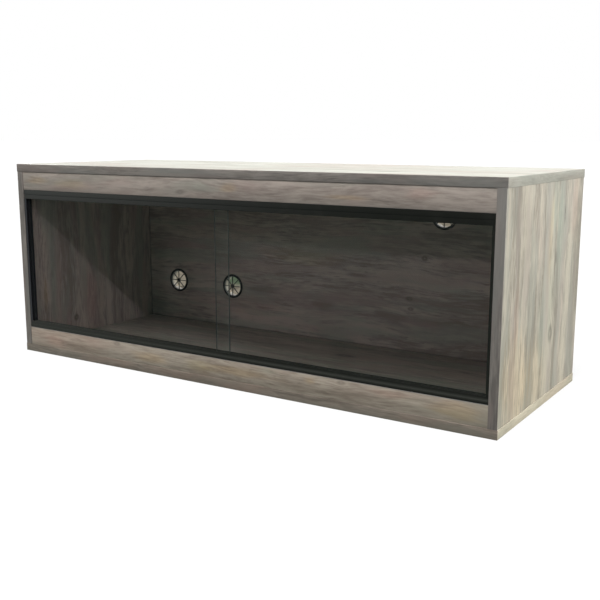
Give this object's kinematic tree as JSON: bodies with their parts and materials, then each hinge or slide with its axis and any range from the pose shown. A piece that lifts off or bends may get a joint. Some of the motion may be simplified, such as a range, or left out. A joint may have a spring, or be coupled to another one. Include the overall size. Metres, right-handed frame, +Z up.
{
  "type": "vivarium",
  "caption": "Long flat-pack wooden vivarium: a low closed cabinet of pale wood-effect boards with sliding glass doors in black plastic runners and push-in air vents in the back wall.",
  "frame": {"origin": "middle of the underside, the point that stands on the surface below", "axes": "+Z up, -Y out of the front where the glass doors are, +X to the right when seen from the front"},
  "size_m": [1.22, 0.457, 0.457],
  "materials": {
    "wood_effect_board": "faced board with a pale oak grain and a low sheen",
    "edging_strip": "thin strip in the same pale oak colour, low sheen",
    "runner_plastic": "black extruded plastic, satin",
    "door_glass": "clear float glass with ground edges",
    "vent_plastic": "black moulded plastic, satin",
    "fitting_metal": "bright plated die-cast and turned metal",
    "cover_plastic": "plastic cap in the board's colour",
    "dowel_wood": "bare beech"
  },
  "bodies": {
    "cabinet": {"top_panel": "wood_effect_board", "base_panel": "wood_effect_board", "left_side_panel": "wood_effect_board", "right_side_panel": "wood_effect_board", "back_panel": "wood_effect_board", "top_fascia": "wood_effect_board", "bottom_fascia": "wood_effect_board", "top_panel_edging": "edging_strip", "base_panel_edging": "edging_strip", "left_side_edging": "edging_strip", "right_side_edging": "edging_strip", "top_fascia_edging": "edging_strip", "bottom_fascia_edging": "edging_strip", "top_runner": "runner_plastic", "bottom_runner": "runner_plastic", "left_upright_channel": "runner_plastic", "right_upright_channel": "runner_plastic", "air_vents": "vent_plastic", "cam_locks": "fitting_metal", "cam_covers": "cover_plastic", "cam_bolts": "fitting_metal", "wooden_dowels": "dowel_wood"},
    "left_door": {"left_glass_door": "door_glass"},
    "right_door": {"right_glass_door": "door_glass"}
  },
  "joints": [
    {"name": "left_door_slide", "type": "slide", "parent": "cabinet", "child": "left_door", "axis": [1, 0, 0], "range_m": [0, 0.574]},
    {"name": "right_door_slide", "type": "slide", "parent": "cabinet", "child": "right_door", "axis": [1, 0, 0], "range_m": [-0.574, 0]}
  ]
}
